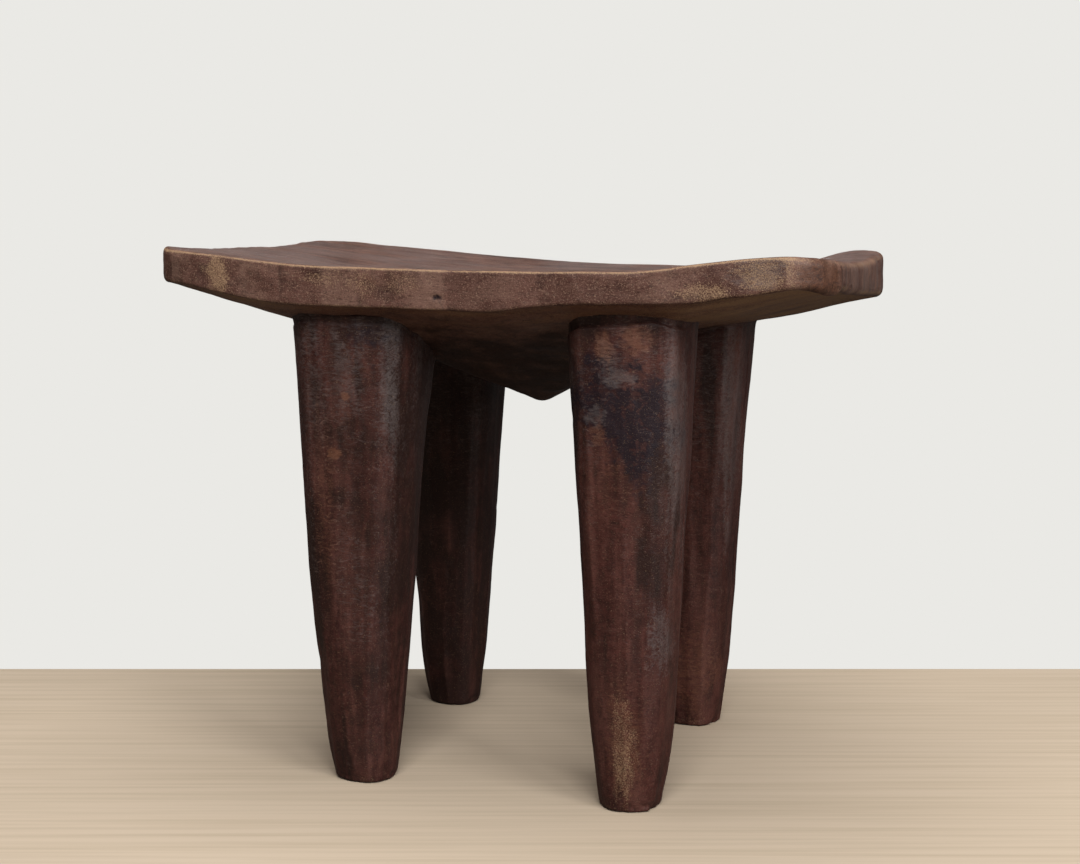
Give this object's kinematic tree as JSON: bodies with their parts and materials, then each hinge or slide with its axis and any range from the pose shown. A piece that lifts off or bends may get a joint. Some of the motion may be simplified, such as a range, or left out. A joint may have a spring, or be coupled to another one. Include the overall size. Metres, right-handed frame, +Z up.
{
  "type": "carved wooden stool",
  "caption": "Low carved hardwood stool: a dished oblong seat turned up at its corners, a hipped underside with a blunt central point, and tapering rounded-square legs.",
  "frame": {"origin": "on the floor, under the middle of the seat's bounding box", "axes": "+X along the seat's length, +Y across it from front to back, +Z up"},
  "size_m": [0.452, 0.296, 0.3582],
  "materials": {
    "seat_wood": "satin, worn to light tan along the upper edge of the rim",
    "leg_wood": "satin, dark reddish brown with knife facets and a dark stain"
  },
  "bodies": {
    "root": {"seat": "seat_wood", "leg_front_left": "leg_wood", "leg_front_right": "leg_wood", "leg_back_left": "leg_wood", "leg_back_right": "leg_wood"}
  },
  "joints": []
}
